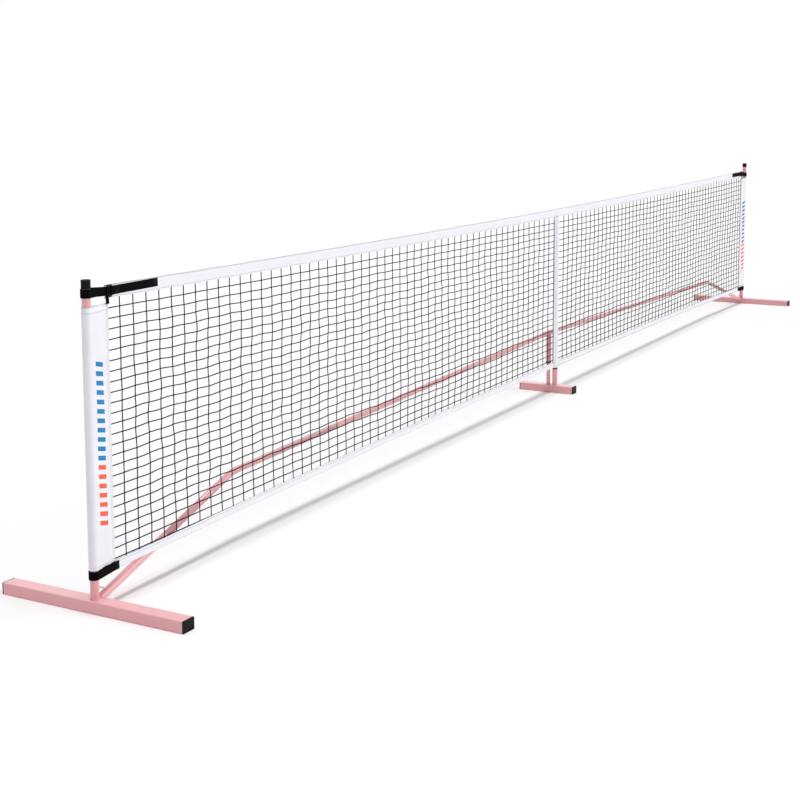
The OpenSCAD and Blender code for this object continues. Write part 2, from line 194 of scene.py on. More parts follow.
post_x = sum(c[0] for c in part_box("left_post")) / 2
rail_y = sum(c[1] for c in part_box("rail_tee")) / 2
rail_r = 0.0111
tube_wall = 0.0012
foot_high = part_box("left_foot_tube")[1]
arm_foot = Vector((foot_high[0] + 0.027, 0.0065, foot_high[2]))
elbow = Vector((post_x + 0.713, rail_y, 0.225))
tee = Vector((0, rail_y, 0.288))
arm_end_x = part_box("left_arm_tube")[1][0]
arm_way = (elbow - arm_foot).normalized()
rail_way = (tee - elbow).normalized()
bend_radius = 0.14
bend_angle = arm_way.angle(rail_way)
bend_axis = arm_way.cross(rail_way).normalized()
bend_reach = bend_radius * math.tan(bend_angle / 2)

for side in sides:
    shape = bmesh.new()
    start = arm_foot + 0.24 * arm_way
    aim = arm_way.to_track_quat("Z", "Y").to_matrix().to_4x4()
    bmesh.ops.create_circle(shape, segments=40, radius=rail_r,
                            matrix=Matrix.Translation(start) @ aim)
    run = (elbow - start).length - bend_reach
    ring = pulled(shape, shape.edges[:], arm_way * run)
    inward = bend_axis.cross(arm_way)
    hub = elbow - arm_way * bend_reach + inward * bend_radius
    spun = bmesh.ops.spin(shape, geom=ring, cent=hub, axis=bend_axis, angle=bend_angle,
                          steps=10)["geom_last"]
    ring = [e for e in spun if isinstance(e, bmesh.types.BMEdge)]
    pulled(shape, ring, rail_way * ((arm_end_x - elbow.x) / rail_way.x - bend_reach))
    if side == "right":
        bmesh.ops.scale(shape, vec=(-1, 1, 1), verts=shape.verts)
    bmesh.ops.remove_doubles(shape, verts=shape.verts, dist=1e-6)
    bmesh.ops.recalc_face_normals(shape, faces=shape.faces)
    for face in shape.faces:
        face.smooth = True
    tube = place_piece(f"{side}_bent_arm", shape, pink_steel, "frame")
    wall = tube.modifiers.new("wall", "SOLIDIFY")
    wall.thickness = tube_wall
    wall.offset = -1
    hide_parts(f"{side}_arm_tube")


# Weld beads: each upright tube is welded all round where it stands on its foot.
# The bead is a small ripple of steel under the same powder coat.
weld_r = 0.0016
for name, tube in (("left_socket_weld", "left_post_socket"),
                   ("right_socket_weld", "right_post_socket"),
                   ("pole_socket_weld", "pole_socket"), ("upright_weld", "middle_upright")):
    low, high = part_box(tube)
    radius = (high[1] - low[1]) / 2
    middle = Vector(((low[0] + high[0]) / 2, (low[1] + high[1]) / 2, low[2] + 0.0004))
    shape = bmesh.new()
    stand = (Matrix.Translation(middle + Vector((radius + 0.0004, 0, 0)))
             @ Matrix.Rotation(math.pi / 2, 4, "X"))
    bmesh.ops.create_circle(shape, segments=8, radius=weld_r, matrix=stand)
    bmesh.ops.spin(shape, geom=shape.verts[:] + shape.edges[:], cent=middle, axis=(0, 0, 1),
                   angle=2 * math.pi, steps=72, use_merge=True)
    bmesh.ops.remove_doubles(shape, verts=shape.verts, dist=1e-6)
    bmesh.ops.recalc_face_normals(shape, faces=shape.faces)
    for vertex in shape.verts:
        away = vertex.co - middle
        around = math.atan2(away.y, away.x)
        swell = 1 + 0.012 * math.sin(24 * around)
        vertex.co = middle + Vector((away.x * swell, away.y * swell, away.z))
    for face in shape.faces:
        face.smooth = True
    place_piece(name, shape, pink_steel, "frame")


# Black mouldings: injection-moulded polypropylene caps, collars and plugs, pushed on or in.
# Spark-eroded moulds leave a fine even grain, so the black is soft and shows a dull sheen.
def moulded_black():
    material, tree = blank_material("moulded_black_polypropylene")
    place = add(tree, "ShaderNodeTexCoord").outputs["Object"]
    # the real grain is 0.3 mm; drawn at 0.8 mm so that it shows
    grain = add(tree, "ShaderNodeTexVoronoi", {"Vector": place, "Scale": 1 / 0.0008})
    relief = add(tree, "ShaderNodeBump", {"Height": grain.outputs["Distance"], "Strength": 0.5,
                                          "Distance": 0.0001})
    scuffs = add(tree, "ShaderNodeTexNoise", {"Vector": place, "Scale": 1 / 0.012, "Detail": 6})
    rough = add(tree, "ShaderNodeMapRange", {"Value": scuffs.outputs["Fac"], "From Min": 0.3,
                                             "From Max": 0.75, "To Min": 0.42, "To Max": 0.66})
    tint = add(tree, "ShaderNodeMix", {"Factor": scuffs.outputs["Fac"], 6: linear("#050506"),
                                       7: linear("#0e0e10")}, data_type="RGBA")
    plastic = add(tree, "ShaderNodeBsdfPrincipled", {
        "Base Color": tint.outputs[2], "Roughness": rough.outputs[0], "Normal": relief.outputs[0],
        "IOR": 1.49, "Specular IOR Level": 0.12})
    add(tree, "ShaderNodeOutputMaterial", {"Surface": plastic.outputs[0]})
    return material


black_plastic = moulded_black()
for name in ("left_post_cap", "right_post_cap", "tee_bush", "pole_socket_bush", "pole_top_cap",
             "pole_bottom_cap"):
    nodes[name].material_slots[0].material = black_plastic


# Foot plugs: a moulded cover flush with the tube, with a shallow sunk panel and rounded rim,
# and a ribbed stem that grips the inside of the tube.
plug_cover = 0.004
plug_sink = 0.0007
for name in ("left_front_plug", "left_back_plug", "right_front_plug", "right_back_plug",
             "middle_front_plug", "middle_back_plug"):
    low, high = Vector(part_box(name)[0]), Vector(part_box(name)[1])
    out = -1 if name.endswith("front_plug") else 1
    face_y = low.y if out < 0 else high.y
    width, height = high.x - low.x, high.z - low.z
    centre = Vector(((low.x + high.x) / 2, 0, (low.z + high.z) / 2))
    shape = bmesh.new()
    bmesh.ops.create_cube(shape, size=1)
    bmesh.ops.scale(shape, vec=(width, plug_cover, height), verts=shape.verts)
    upright = [e for e in shape.edges if abs(e.verts[0].co.y - e.verts[1].co.y) > plug_cover / 2]
    bmesh.ops.bevel(shape, geom=upright, offset=0.003, segments=4, profile=0.5, affect="EDGES",
                    material=-1)
    front = max(shape.faces, key=lambda f: f.calc_center_median().y * out)
    bmesh.ops.bevel(shape, geom=front.edges[:], offset=0.0009, segments=3, profile=0.5,
                    affect="EDGES", material=-1)
    front = max(shape.faces, key=lambda f: f.normal.y * out * f.calc_area())
    bmesh.ops.inset_region(shape, faces=[front], thickness=0.0045)
    bmesh.ops.inset_region(shape, faces=[front], thickness=0.0006, depth=-plug_sink)
    bmesh.ops.translate(shape, verts=shape.verts,
                        vec=centre + Vector((0, face_y - out * plug_cover / 2, 0)))
    stem = bmesh.ops.create_cube(shape, size=1)["verts"]
    bmesh.ops.scale(shape, vec=(width - 0.0062, 0.018, height - 0.0062), verts=stem)
    bmesh.ops.translate(shape, verts=stem, vec=centre + Vector((0, face_y - out * 0.013, 0)))
    for step in range(3):
        rib = bmesh.ops.create_cube(shape, size=1)["verts"]
        bmesh.ops.scale(shape, vec=(width - 0.0028, 0.0012, height - 0.0028), verts=rib)
        bmesh.ops.translate(shape, verts=rib,
                            vec=centre + Vector((0, face_y - out * (0.008 + 0.006 * step), 0)))
    bmesh.ops.recalc_face_normals(shape, faces=shape.faces)
    plug = place_piece(f"{name}_moulding", shape, black_plastic, "frame")
    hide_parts(name)


# Snap buttons and their clips: spring steel, zinc plated, pushed out through the rail's holes.
# Bright zinc is a pale blue-grey metal with a fine drawn grain.
zinc, tree = blank_material("bright_zinc_spring_steel")
place = add(tree, "ShaderNodeTexCoord").outputs["Object"]
stretch = add(tree, "ShaderNodeMapping", {"Vector": place, "Scale": (40, 900, 900)})
drawn = add(tree, "ShaderNodeTexNoise", {"Vector": stretch.outputs[0], "Scale": 1, "Detail": 4})
rough = add(tree, "ShaderNodeMapRange", {"Value": drawn.outputs["Fac"], "To Min": 0.2,
                                         "To Max": 0.42})
relief = add(tree, "ShaderNodeBump", {"Height": drawn.outputs["Fac"], "Strength": 0.3,
                                      "Distance": 0.00003})
metal = add(tree, "ShaderNodeBsdfPrincipled", {"Base Color": linear("#c3c8cd"), "Metallic": 1.0,
                                               "Roughness": rough.outputs[0],
                                               "Normal": relief.outputs[0]})
add(tree, "ShaderNodeOutputMaterial", {"Surface": metal.outputs[0]})
for side in sides:
    for part in ("outer_clip", "inner_clip", "outer_button", "inner_button"):
        nodes[f"{side}_{part}"].material_slots[0].material = zinc


# Netting: black twisted polyethylene string, about 2.8 mm thick, drawn at 3.6 mm so that it shows.
# 54 upright strings and 25 level ones on each half, caught in the tapes, never quite straight.
net_reach = 3.353
top_at_end, top_dip = 0.912, 0.024
hem_at_end, hem_rise = 0.092, 0.029
top_tape_h, hem_tape_h = 0.039, 0.026
string_r = 0.0018
cell_w, cell_h = 0.0589, 0.03004
first_string_x, row_count, string_count = 3.214, 25, 54
sleeve_seam_x = 3.265


def top_edge(x):
    """Height of the top tape's upper edge at x."""
    return top_at_end - top_dip * (1 - (x / net_reach) ** 2)


def hem_edge(x):
    """Height of the bottom tape's lower edge at x."""
    return hem_at_end + hem_rise * (1 - (x / net_reach) ** 2)


def drift(x, z):
    """How far the slack in the net carries a point of it, nothing at its borders."""
    low, high = hem_edge(x) + 0.02, top_edge(x) - top_tape_h
    inside = max(0.0, min(1.0, (z - low) / 0.12)) * max(0.0, min(1.0, (high - z) / 0.12))
    inside *= max(0.0, min(1.0, (3.262 - abs(x)) / 0.15, (abs(x) - 0.03) / 0.15))
    along = 0.0016 * math.sin(31 * z + 5.3 * x) + 0.0011 * math.sin(67 * z - 23 * x)
    up = 0.0018 * math.sin(13 * x + 7 * z) + 0.0012 * math.sin(47 * x + 19 * z)
    out = 0.0035 * math.sin(2.3 * x + 1) * math.sin(5 * z) + 0.0008 * math.sin(71 * x + 53 * z)
    return Vector((along, out, up)) * inside


def polyethylene_string():
    material, tree = blank_material("black_polyethylene_string")
    place = add(tree, "ShaderNodeTexCoord").outputs["Object"]
    # three strands laid at a slant, each about 1.3 mm across
    slant = add(tree, "ShaderNodeMapping", {"Vector": place, "Rotation": (0, 0.7, 0)})
    lay = add(tree, "ShaderNodeTexWave", {"Vector": slant.outputs[0], "Scale": 1 / 0.0026 / 6.28,
                                          "Distortion": 1.5, "Detail": 1})
    fibres = add(tree, "ShaderNodeTexNoise", {"Vector": place, "Scale": 1 / 0.0009, "Detail": 2})
    height = add(tree, "ShaderNodeMath", {0: lay.outputs["Fac"], 1: fibres.outputs["Fac"]},
                 operation="ADD")
    relief = add(tree, "ShaderNodeBump", {"Height": height.outputs[0], "Strength": 0.6,
                                          "Distance": 0.0004})
    tint = add(tree, "ShaderNodeMix", {"Factor": fibres.outputs["Fac"], 6: linear("#060608"),
                                       7: linear("#141518")}, data_type="RGBA")
    string = add(tree, "ShaderNodeBsdfPrincipled", {
        "Base Color": tint.outputs[2], "Roughness": 0.62, "Normal": relief.outputs[0],
        "Specular IOR Level": 0.15})
    add(tree, "ShaderNodeOutputMaterial", {"Surface": string.outputs[0]})
    return material


def straight_string(steps):
    """A six-sided string from z = 0 to 1, to be laid along its line."""
    shape = bmesh.new()
    bmesh.ops.create_circle(shape, segments=6, radius=string_r)
    ring = shape.edges[:]
    for step in range(steps):
        ring = pulled(shape, ring, (0, 0, 1 / steps))
    bmesh.ops.holes_fill(shape, edges=shape.edges, sides=6)
    bmesh.ops.recalc_face_normals(shape, faces=shape.faces)
    mesh = bpy.data.meshes.new("string")
    shape.to_mesh(mesh)
    shape.free()
    return mesh


net_string = polyethylene_string()
upright_string = straight_string(50)
level_string = straight_string(108)


def row_z(row, x):
    """Height of a level string at x; the rows draw together towards the middle."""
    share = (x / net_reach) ** 2
    return top_edge(x) - top_tape_h - 0.0275 - row * (cell_h * share + 0.0288 * (1 - share))


for side in sides:
    way = -1 if side == "left" else 1
    shape = bmesh.new()
    for i in range(string_count):
        x = way * (first_string_x - i * cell_w)
        known = len(shape.verts)
        shape.from_mesh(upright_string)
        shape.verts.ensure_lookup_table()
        low, high = hem_edge(x) + hem_tape_h - 0.006, top_edge(x) - top_tape_h + 0.006
        for vertex in shape.verts[known:]:
            z = low + (high - low) * vertex.co.z
            vertex.co = Vector((x + vertex.co.x, vertex.co.y, z)) + drift(x, z)
    ends = (way * (sleeve_seam_x + 0.006), way * 0.022)
    for row in range(row_count):
        known = len(shape.verts)
        shape.from_mesh(level_string)
        shape.verts.ensure_lookup_table()
        for vertex in shape.verts[known:]:
            x = ends[0] + (ends[1] - ends[0]) * vertex.co.z
            z = row_z(row, x)
            vertex.co = Vector((x, vertex.co.y, z + vertex.co.x)) + drift(x, z)
    bmesh.ops.recalc_face_normals(shape, faces=shape.faces)
    for face in shape.faces:
        face.smooth = True
    strings = place_piece(f"{side}_net_strings", shape, net_string, "net")
    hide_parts(f"{side}_netting")

    # a reef knot at every crossing, as a small fat bead of string
    bead = bmesh.new()
    bmesh.ops.create_icosphere(bead, subdivisions=1, radius=1)
    bmesh.ops.scale(bead, vec=(0.0029, 0.0026, 0.0028), verts=bead.verts)
    bead_mesh = bpy.data.meshes.new("bead")
    bead.to_mesh(bead_mesh)
    bead.free()
    shape = bmesh.new()
    for i in range(string_count):
        x = way * (first_string_x - i * cell_w)
        for row in range(row_count):
            z = row_z(row, x)
            if z < hem_edge(x) + hem_tape_h:
                continue
            known = len(shape.verts)
            shape.from_mesh(bead_mesh)
            shape.verts.ensure_lookup_table()
            bmesh.ops.translate(shape, verts=shape.verts[known:],
                                vec=Vector((x, 0, z)) + drift(x, z))
    for face in shape.faces:
        face.smooth = True
    place_piece(f"{side}_net_knots", shape, net_string, "net")


# Tapes: white woven polyester, doubled over the edge of the netting and lockstitched in two rows.
# The fold of each carries a grey band of painted shade; both pucker slightly along the stitching.
def woven_white(name, thread, stitch_rows, edges=()):
    """White cloth in metres of UV: plain weave, (axis, metres) rows of stitching, and painted grey
    shade along the folds at edges.
    """
    material, tree = blank_material(name)
    across = add(tree, "ShaderNodeUVMap", uv_map="cloth").outputs[0]
    split = add(tree, "ShaderNodeSeparateXYZ", {0: across})
    turn = 2 * math.pi / thread
    threads = []
    for axis in ("X", "Y"):
        angle = add(tree, "ShaderNodeMath", {0: split.outputs[axis], 1: turn}, operation="MULTIPLY")
        wave = add(tree, "ShaderNodeMath", {0: angle.outputs[0]}, operation="SINE")
        threads.append(wave.outputs[0])
    weave = add(tree, "ShaderNodeMath", {0: threads[0], 1: threads[1]}, operation="MULTIPLY")
    height = weave.outputs[0]
    shade = None
    for axis, row in stitch_rows:
        gap = add(tree, "ShaderNodeMath", {0: split.outputs[axis], 1: row}, operation="SUBTRACT")
        near = add(tree, "ShaderNodeMath", {0: gap.outputs[0]}, operation="ABSOLUTE")
        line = add(tree, "ShaderNodeMapRange", {"Value": near.outputs[0], "From Min": 0.0006,
                                                "From Max": 0.0014, "To Min": 1.0, "To Max": 0.0})
        # 4 mm stitches with 1 mm between them
        along = split.outputs["X" if axis == "Y" else "Y"]
        march = add(tree, "ShaderNodeMath", {0: along, 1: 0.005}, operation="FLOORED_MODULO")
        dash = add(tree, "ShaderNodeMath", {0: march.outputs[0], 1: 0.004}, operation="LESS_THAN")
        sewn = add(tree, "ShaderNodeMath", {0: line.outputs[0], 1: dash.outputs[0]},
                   operation="MULTIPLY")
        dent = add(tree, "ShaderNodeMapRange", {"Value": near.outputs[0], "From Min": 0.0,
                                                "From Max": 0.004, "To Min": -3.0, "To Max": 0.0})
        both = add(tree, "ShaderNodeMath", {0: dent.outputs[0], 1: sewn.outputs[0]},
                   operation="ADD")
        height = add(tree, "ShaderNodeMath", {0: height, 1: both.outputs[0]},
                     operation="ADD").outputs[0]
        shade = sewn.outputs[0] if shade is None else add(
            tree, "ShaderNodeMath", {0: shade, 1: sewn.outputs[0]}, operation="MAXIMUM").outputs[0]
    relief = add(tree, "ShaderNodeBump", {"Height": height, "Strength": 0.5, "Distance": 0.00025})
    place = add(tree, "ShaderNodeTexCoord").outputs["Object"]
    slow = add(tree, "ShaderNodeTexNoise", {"Vector": place, "Scale": 14, "Detail": 4})
    tint = add(tree, "ShaderNodeMix", {"Factor": slow.outputs["Fac"], 6: linear("#f1f0f6"),
                                       7: linear("#fafaff")}, data_type="RGBA")
    colour = tint.outputs[2]
    if shade is not None:
        colour = add(tree, "ShaderNodeMix", {"Factor": shade, 6: colour, 7: linear("#c9c9d2")},
                     data_type="RGBA").outputs[2]
    # painted shade: the folded edge is greyed where the fold turns away from the light, fading over
    # 3 mm
    for edge in edges:
        gap = add(tree, "ShaderNodeMath", {0: split.outputs["Y"], 1: edge}, operation="SUBTRACT")
        near = add(tree, "ShaderNodeMath", {0: gap.outputs[0]}, operation="ABSOLUTE")
        fold_shade = add(tree, "ShaderNodeMapRange", {"Value": near.outputs[0], "From Min": 0.0022,
                                                "From Max": 0.0052, "To Min": 0.85, "To Max": 0.0})
        colour = add(tree, "ShaderNodeMix", {"Factor": fold_shade.outputs[0], 6: colour,
                                             7: linear("#b9b9bf")}, data_type="RGBA").outputs[2]
    cloth = add(tree, "ShaderNodeBsdfPrincipled", {
        "Base Color": colour, "Roughness": 0.78, "Normal": relief.outputs[0],
        "Specular IOR Level": 0.25, "Sheen Weight": 0.15, "Sheen Roughness": 0.4})
    add(tree, "ShaderNodeOutputMaterial", {"Surface": cloth.outputs[0]})
    return material, tree, cloth, split, colour


def cloth_strip(name, profile, steps, lay, material, replaced, flat, thick):
    """Sweeps a profile of distances across the cloth in steps, and lays each point by lay(s, v)."""
    shape = bmesh.new()
    first = [shape.verts.new((0, 0, v)) for v in profile]
    for a, b in zip(first, first[1:]):
        shape.edges.new((a, b))
    run = shape.edges[:]
    for step in range(steps):
        run = pulled(shape, run, (1 / steps, 0, 0))
    uv = shape.loops.layers.uv.new("cloth")
    for face in shape.faces:
        face.smooth = True
        for loop in face.loops:
            loop[uv].uv = (loop.vert.co.x * flat[1], loop.vert.co.z)
    for vertex in shape.verts:
        vertex.co = lay(vertex.co.x, vertex.co.z)
    piece = place_piece(name, shape, material, "net")
    wall = piece.modifiers.new("thickness", "SOLIDIFY")
    wall.thickness = thick
    wall.offset = -1
    wall.use_even_offset = True
    if replaced:
        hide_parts(*replaced)
    return piece


tape_half = 0.0022
tape_leaf = 0.0007


def folded(height, v):
    """(y, z) of a strip 2 * height wide folded in half, at v metres from its front edge."""
    round_fold = tape_half * math.pi / 2
    leaf = height - tape_half
    if v <= leaf:
        return -tape_half, v
    if v >= leaf + 2 * round_fold:
        return tape_half, 2 * leaf + 2 * round_fold - v
    angle = (v - leaf) / (2 * round_fold) * math.pi
    return -tape_half * math.cos(angle), leaf + tape_half * math.sin(angle)


def fold_profile(height):
    """Points across a folded strip: close together at the fold and along the two hems."""
    leaf = height - tape_half
    turned = tape_half * math.pi
    front = [0, 0.002, 0.006, leaf * 0.4, leaf * 0.7, leaf]
    bend = [leaf + turned * k / 6 for k in range(1, 6)]
    return front + bend + [2 * leaf + turned - v for v in reversed(front)]


def pucker(x, v):
    """Small waves that the stitching draws along a tape."""
    return (0.0005 * math.sin(2 * math.pi * x / 0.046 + 9 * v)
            + 0.0004 * math.sin(2 * math.pi * x / 0.019))


# edges= puts painted shade along the tape's fold
tape_cloth = woven_white("white_polyester_tape", 0.0022, (("Y", 0.0035), ("Y", 0.0745)),
                         edges=(0.039,))[0]
top_length = 2 * 3.276


def lay_top(s, v):
    x = top_length * (s - 0.5)
    y, z = folded(top_tape_h, v)
    return Vector((x, y + pucker(x, v) * (0.3 + 0.7 * (z < 0.01)),
                   top_edge(x) - top_tape_h + z + 0.0004 * math.sin(x * 29)))


cloth_strip("top_tape_cloth", fold_profile(top_tape_h), 420, lay_top, tape_cloth, ["top_tape"],
            (0.0765, top_length), tape_leaf)

# edges= puts painted shade along the hem's fold
hem_cloth = woven_white("white_polyester_hem", 0.0022, (("Y", 0.0035), ("Y", 0.0478)),
                        edges=(0.026,))[0]
hem_length = sleeve_seam_x - 0.028
for side in sides:
    way = -1 if side == "left" else 1

    def lay_hem(s, v):
        x = way * (sleeve_seam_x - hem_length * s)
        y, z = folded(hem_tape_h, v)
        return Vector((x, (y + pucker(x, v) * (0.3 + 0.7 * (z < 0.008))) * way,
                       hem_edge(x) + hem_tape_h - z + 0.0003 * math.sin(x * 33)))

    cloth_strip(f"{side}_hem_cloth", fold_profile(hem_tape_h), 210, lay_hem, hem_cloth,
                [f"{side}_bottom_tape"], (0.0505, hem_length),
                tape_leaf)


# End sleeves: a white polyester pocket sewn down one side, slipped over each post.
# Twin rows of stitching close it beside the net; plain slanted dashes are printed on both faces.
sleeve_r = 0.0148
sleeve_mouth = 0.0016
sleeve_cloth_t = 0.0008
seam_reach = net_reach - sleeve_seam_x


def pocket(v, run, wrap, radius, reach, mouth):
    """Offset (towards the net, across) of a cloth loop drawn round a tube, at v along it."""
    far = math.hypot(reach, mouth)
    touch = math.acos(radius / far) + math.atan2(mouth, reach)
    front = Vector((math.cos(touch), -math.sin(touch))) * radius
    arc = radius * wrap
    if v <= run:
        return Vector((reach, -mouth)).lerp(front, v / run)
    if v >= run + arc:
        return Vector((front.x, -front.y)).lerp(Vector((reach, mouth)), (v - run - arc) / run)
    turn = -touch - (v - run) / radius
    return Vector((math.cos(turn), math.sin(turn))) * radius


def pocket_size(radius, reach, mouth):
    """Length of the straight run and angle of the wrap of such a loop."""
    far = math.hypot(reach, mouth)
    touch = math.acos(radius / far) + math.atan2(mouth, reach)
    return math.sqrt(far ** 2 - radius ** 2), 2 * (math.pi - touch)


run, wrap = pocket_size(sleeve_r, seam_reach, sleeve_mouth)
loop = 2 * run + wrap * sleeve_r
printed, tree, cloth, split, plain = woven_white(
    "white_printed_sleeve_polyester", 0.0018,
    (("Y", 0.004), ("Y", 0.011), ("Y", loop - 0.004), ("Y", loop - 0.011),
     ("X", 0.009), ("X", 0.723)))


def between(value, low, high):
    """1 where value is from low to high, as a node output."""
    over = add(tree, "ShaderNodeMath", {0: value, 1: low}, operation="GREATER_THAN")
    under = add(tree, "ShaderNodeMath", {0: value, 1: high}, operation="LESS_THAN")
    return add(tree, "ShaderNodeMath", {0: over.outputs[0], 1: under.outputs[0]},
               operation="MULTIPLY").outputs[0]


bar_pitch, bar_tall, bar_slope = 0.0265, 0.0135, 0.22
column_near, column_far = 0.033, 0.071
coral_from, blue_from, blue_to = 0.131, 0.308, 0.609
centred = add(tree, "ShaderNodeMath", {0: split.outputs["Y"], 1: loop / 2}, operation="SUBTRACT")
from_back = add(tree, "ShaderNodeMath", {0: centred.outputs[0]}, operation="ABSOLUTE")
slope = add(tree, "ShaderNodeMath", {0: from_back.outputs[0], 1: bar_slope}, operation="MULTIPLY")
lifted = add(tree, "ShaderNodeMath", {0: split.outputs["X"], 1: slope.outputs[0]}, operation="ADD")
beat = add(tree, "ShaderNodeMath", {0: lifted.outputs[0], 1: bar_pitch}, operation="FLOORED_MODULO")
dashes = add(tree, "ShaderNodeMath", {0: beat.outputs[0], 1: bar_tall}, operation="LESS_THAN")
in_column = between(from_back.outputs[0], loop / 2 - column_far, loop / 2 - column_near)
ink = add(tree, "ShaderNodeMath", {0: dashes.outputs[0], 1: in_column}, operation="MULTIPLY")
colour = plain
for low, high, hue in ((blue_from, blue_to, "#1c86c6"), (coral_from, blue_from, "#f9684f")):
    here = between(lifted.outputs[0], low, high)
    cover = add(tree, "ShaderNodeMath", {0: ink.outputs[0], 1: here}, operation="MULTIPLY")
    colour = add(tree, "ShaderNodeMix", {"Factor": cover.outputs[0], 6: colour, 7: linear(hue)},
                 data_type="RGBA").outputs[2]
tree.links.new(colour, cloth.inputs["Base Color"])

sleeve_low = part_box("left_sleeve")[0][2]
near_half = [0, 0.004, 0.008] + [run * k / 8 for k in range(1, 9)]
across = near_half + [run + sleeve_r * wrap * k / 14 for k in range(1, 14)]
across += [loop - v for v in reversed(near_half)]
sleeve_stretch = {"left": 0.005, "right": 0.008}
for side in sides:
    way = -1 if side == "left" else 1
    # each sleeve is drawn up a little closer to its strap
    sleeve_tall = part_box(f"{side}_sleeve")[1][2] - sleeve_low + sleeve_stretch[side]

    def lay_sleeve(s, v):
        towards, y = pocket(v, run, wrap, sleeve_r, seam_reach, sleeve_mouth)
        z = sleeve_low + sleeve_tall * s
        span = max(0.0, min(1.0, (towards - 0.006) / 0.02, (seam_reach - 0.004 - towards) / 0.02))
        slack = (0.0011 * math.sin(2 * math.pi * towards / 0.052 + 5 * z)
                 + 0.0009 * math.sin(23 * z + 40 * towards))
        hem = 0.0004 * math.sin(math.pi * min(1.0, s * sleeve_tall / 0.012,
                                              (1 - s) * sleeve_tall / 0.012))
        y += (slack * span + hem) * (1 if y > 0 else -1)
        return Vector((way * (net_reach - towards), y, z))

    cloth_strip(f"{side}_sleeve_cloth", across, 60, lay_sleeve, printed, [f"{side}_sleeve"],
                (loop, sleeve_tall), sleeve_cloth_t)


# Middle sleeve: the same white cloth, sewn flat to the netting on both sides of a pocket.
# The pink pole stands in the pocket and carries the tapes.
pole_r = 0.0124
wing = 0.028
wing_mouth = 0.0014
pole_run, pole_wrap = pocket_size(pole_r, wing, wing_mouth)
front_arc = pole_wrap - math.pi
half_loop = 2 * pole_run + front_arc * pole_r
middle_cloth = woven_white(
    "white_middle_sleeve_polyester", 0.0018,
    (("Y", 0.0035), ("Y", 0.014), ("Y", half_loop - 0.014), ("Y", half_loop - 0.0035),
     ("Y", half_loop + 0.0035), ("Y", half_loop + 0.014), ("Y", 2 * half_loop - 0.014),
     ("Y", 2 * half_loop - 0.0035)))[0]
low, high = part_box("middle_sleeve")
middle_low, middle_tall = low[2], high[2] - low[2]


def lay_middle(s, v):
    z = middle_low + middle_tall * s
    face = -1 if v < half_loop else 1
    u = v if v < half_loop else 2 * half_loop - v
    side_way = -1 if u < half_loop / 2 else 1
    reach = u if u < half_loop / 2 else half_loop - u
    if reach <= pole_run:
        x, y = pocket(reach, pole_run, pole_wrap, pole_r, wing, wing_mouth)
    else:
        touch = math.acos(pole_r / math.hypot(wing, wing_mouth)) + math.atan2(wing_mouth, wing)
        turn = -touch - (reach - pole_run) / pole_r
        x, y = math.cos(turn) * pole_r, math.sin(turn) * pole_r
    flat_part = (max(0.0, min(1.0, (wing - 0.003 - x) / 0.006))
                 * max(0.0, min(1.0, (x - 0.008) / 0.006)))
    y -= 0.0006 * math.sin(19 * z + 3 * side_way) * flat_part
    return Vector((side_way * x, -face * y, z))


edge = [0, 0.0035, 0.007, 0.012, 0.018, pole_run, pole_run + front_arc * pole_r / 4]
front = edge + [half_loop / 2] + [half_loop - v for v in reversed(edge)]
back = [half_loop + v + 1e-5 * (v == 0) for v in front]
cloth_strip("middle_sleeve_cloth", front + back, 60, lay_middle, middle_cloth, ["middle_sleeve"],
            (2 * half_loop, middle_tall), sleeve_cloth_t)


# Corner straps: black polypropylene webbing, 25 mm wide and 1.4 mm thick, ribbed across.
# Each loops round its post; the upper one runs back behind a buckle and ends in a short tail.
def webbing():
    material, tree = blank_material("black_polypropylene_webbing")
    across = add(tree, "ShaderNodeUVMap", uv_map="cloth").outputs[0]
    split = add(tree, "ShaderNodeSeparateXYZ", {0: across})
    # ribs 1.6 mm apart along the band and warp lines 2.1 mm apart across it
    waves = []
    for axis, gap in (("X", 0.0016), ("Y", 0.0021)):
        angle = add(tree, "ShaderNodeMath", {0: split.outputs[axis], 1: 2 * math.pi / gap},
                    operation="MULTIPLY")
        wave = add(tree, "ShaderNodeMath", {0: angle.outputs[0]}, operation="SINE")
        waves.append(wave.outputs[0])
    weave = add(tree, "ShaderNodeMath", {0: waves[0], 1: waves[1]}, operation="MULTIPLY")
    relief = add(tree, "ShaderNodeBump", {"Height": weave.outputs[0], "Strength": 0.7,
                                          "Distance": 0.0003})
    place = add(tree, "ShaderNodeTexCoord").outputs["Object"]
    fuzz = add(tree, "ShaderNodeTexNoise", {"Vector": place, "Scale": 1 / 0.004, "Detail": 4})
    tint = add(tree, "ShaderNodeMix", {"Factor": fuzz.outputs["Fac"], 6: linear("#020203"),
                                       7: linear("#070708")}, data_type="RGBA")
    band = add(tree, "ShaderNodeBsdfPrincipled", {
        "Base Color": tint.outputs[2], "Roughness": 0.72, "Normal": relief.outputs[0],
        "Specular IOR Level": 0.04})
    add(tree, "ShaderNodeOutputMaterial", {"Surface": band.outputs[0]})
    return material


black_webbing = webbing()
strap_w = 0.025
strap_t = 0.0014
around_post = 0.0152
selvedge = [0, 0.0012, 0.0125, 0.0238, strap_w]


def polyline(points):
    """A function from a share of the line's length to (the point there, its length)."""
    lengths = [(b - a).length for a, b in zip(points, points[1:])]
    total = sum(lengths)

    def at(share):
        left = max(0.0, min(total, share * total))
        for a, b, length in zip(points, points[1:], lengths):
            if left <= length:
                return a.lerp(b, left / length)
            left -= length
        return points[-1]
    return at, total


def wrap_points(front, back):
    """A band's plan, from a front list round the far side of the post to a back list."""
    round_post = [Vector((-around_post * math.cos(a), -around_post * math.sin(a)))
                  for a in (math.radians(98 - 196 * k / 18) for k in range(19))]
    return front + round_post + back


